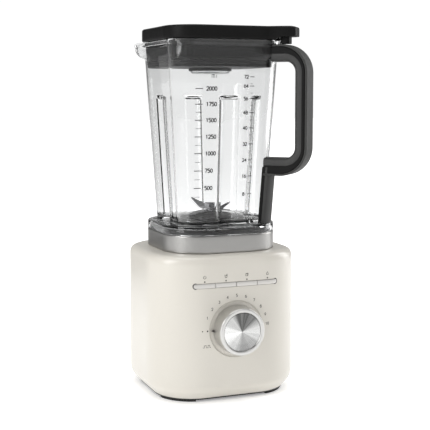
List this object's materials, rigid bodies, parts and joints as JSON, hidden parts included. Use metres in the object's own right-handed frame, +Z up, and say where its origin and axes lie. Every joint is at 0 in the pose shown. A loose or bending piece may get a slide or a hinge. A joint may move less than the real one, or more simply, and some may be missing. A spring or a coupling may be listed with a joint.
{
  "type": "countertop blender",
  "caption": "Countertop blender: cream base with dial and buttons, metal band, clear square jar with corner handle, black lid with measuring cap, steel blades.",
  "frame": {"origin": "where the drive's axis meets the counter, at the foot of the base", "axes": "+Z up along the drive's axis, -Y towards the user on the side with the dial, +X to the user's right"},
  "size_m": [0.1882, 0.1897, 0.4299],
  "materials": {
    "cream_shell": "satin pearl",
    "black_plastic": "fine matt texture",
    "rubber_black": "matt",
    "satin_metal": "satin, bead blasted",
    "screw_steel": "zinc plated",
    "lamination": "stacked sheets, varnished",
    "copper_wire": "varnished copper wire",
    "cast_bracket": "die cast",
    "brass_holder": "pressed",
    "board_green": "lacquered board",
    "light_clear": "clear polished",
    "dark_plastic": "satin",
    "shaft_steel": "ground",
    "knob_metal": "satin with a bright bevel",
    "spun_disc": "spun, fine turned lines",
    "mark_dark": "matt",
    "button_metal": "satin",
    "clear_jar": "clear polished",
    "grey_skin": "soft satin",
    "grip_soft": "soft matt",
    "bronze": "sintered",
    "seal_grey": "matt",
    "blade_steel": "ground edges"
  },
  "bodies": {
    "base": {"housing": "cream_shell", "base_plate": "black_plastic", "foot_front_left": "rubber_black", "foot_front_right": "rubber_black", "foot_rear_left": "rubber_black", "foot_rear_right": "rubber_black", "vent_ring": "rubber_black", "deck_band": "satin_metal", "deck_pad": "rubber_black", "well_seal": "rubber_black", "cord_gland": "rubber_black", "plate_screw_1": "screw_steel", "plate_screw_2": "screw_steel", "plate_screw_3": "screw_steel", "plate_screw_4": "screw_steel", "field_stack": "lamination", "field_coils": "copper_wire", "lower_bracket": "cast_bracket", "upper_bracket": "cast_bracket", "motor_mount_1": "rubber_black", "motor_mount_2": "rubber_black", "motor_mount_3": "rubber_black", "motor_mount_4": "rubber_black", "brush_left": "brass_holder", "brush_right": "brass_holder", "control_board": "board_green", "light_pipe": "light_clear", "dial_switch": "dark_plastic"},
    "rotor": {"motor_shaft": "shaft_steel", "armature": "copper_wire", "fan": "dark_plastic", "drive_coupler": "cast_bracket"},
    "knob": {"knob_shell": "knob_metal", "knob_disc": "spun_disc", "knob_pointer": "mark_dark", "knob_shaft": "shaft_steel"},
    "button_power": {"button_power": "button_metal"},
    "button_smoothie": {"button_smoothie": "button_metal"},
    "button_ice": {"button_ice": "button_metal"},
    "button_clean": {"button_clean": "button_metal"},
    "jar": {"jar": "clear_jar", "handle_body": "black_plastic", "handle_face": "grey_skin", "handle_grip": "grip_soft", "handle_screw_upper": "screw_steel", "handle_screw_lower": "screw_steel", "bearing_housing": "black_plastic", "bearing_bushing": "bronze", "jar_seal": "seal_grey", "jar_nut": "black_plastic"},
    "blades": {"blade_shaft": "shaft_steel", "blade_lower": "blade_steel", "blade_upper": "blade_steel", "blade_nut": "blade_steel", "driven_coupler": "rubber_black"},
    "lid": {"lid_plate": "black_plastic", "lid_plug": "dark_plastic", "lid_gasket": "rubber_black"},
    "cap": {"cap_top": "black_plastic", "measuring_cup": "light_clear"}
  },
  "joints": [
    {"name": "motor_spin", "type": "hinge", "parent": "base", "child": "rotor", "pos_m": [0, 0, 0.1], "axis": [0, 0, 1], "continuous": true},
    {"name": "knob_turn", "type": "hinge", "parent": "base", "child": "knob", "pos_m": [0, -0.0836, 0.0848], "axis": [0, 1, 0], "range_deg": [-30, 175]},
    {"name": "power_press", "type": "slide", "parent": "base", "child": "button_power", "axis": [0, 1, 0], "range_m": [0, 0.0012], "stiffness_N_per_m": 900, "springref_m": -0.0006},
    {"name": "smoothie_press", "type": "slide", "parent": "base", "child": "button_smoothie", "axis": [0, 1, 0], "range_m": [0, 0.0012], "stiffness_N_per_m": 900, "springref_m": -0.0006},
    {"name": "ice_press", "type": "slide", "parent": "base", "child": "button_ice", "axis": [0, 1, 0], "range_m": [0, 0.0012], "stiffness_N_per_m": 900, "springref_m": -0.0006},
    {"name": "clean_press", "type": "slide", "parent": "base", "child": "button_clean", "axis": [0, 1, 0], "range_m": [0, 0.0012], "stiffness_N_per_m": 900, "springref_m": -0.0006},
    {"name": "jar_lift", "type": "slide", "parent": "base", "child": "jar", "axis": [0, 0, 1], "range_m": [0, 0.1]},
    {"name": "blade_spin", "type": "hinge", "parent": "jar", "child": "blades", "pos_m": [0, 0, 0.21], "axis": [0, 0, 1], "continuous": true},
    {"name": "lid_lift", "type": "slide", "parent": "jar", "child": "lid", "axis": [0, 0, 1], "range_m": [0, 0.08]},
    {"name": "cap_lift", "type": "slide", "parent": "lid", "child": "cap", "axis": [0, 0, 1], "range_m": [0, 0.07]}
  ],
  "couplings": [
    {"joint": "blade_spin", "follows": "motor_spin", "ratio": 1}
  ]
}
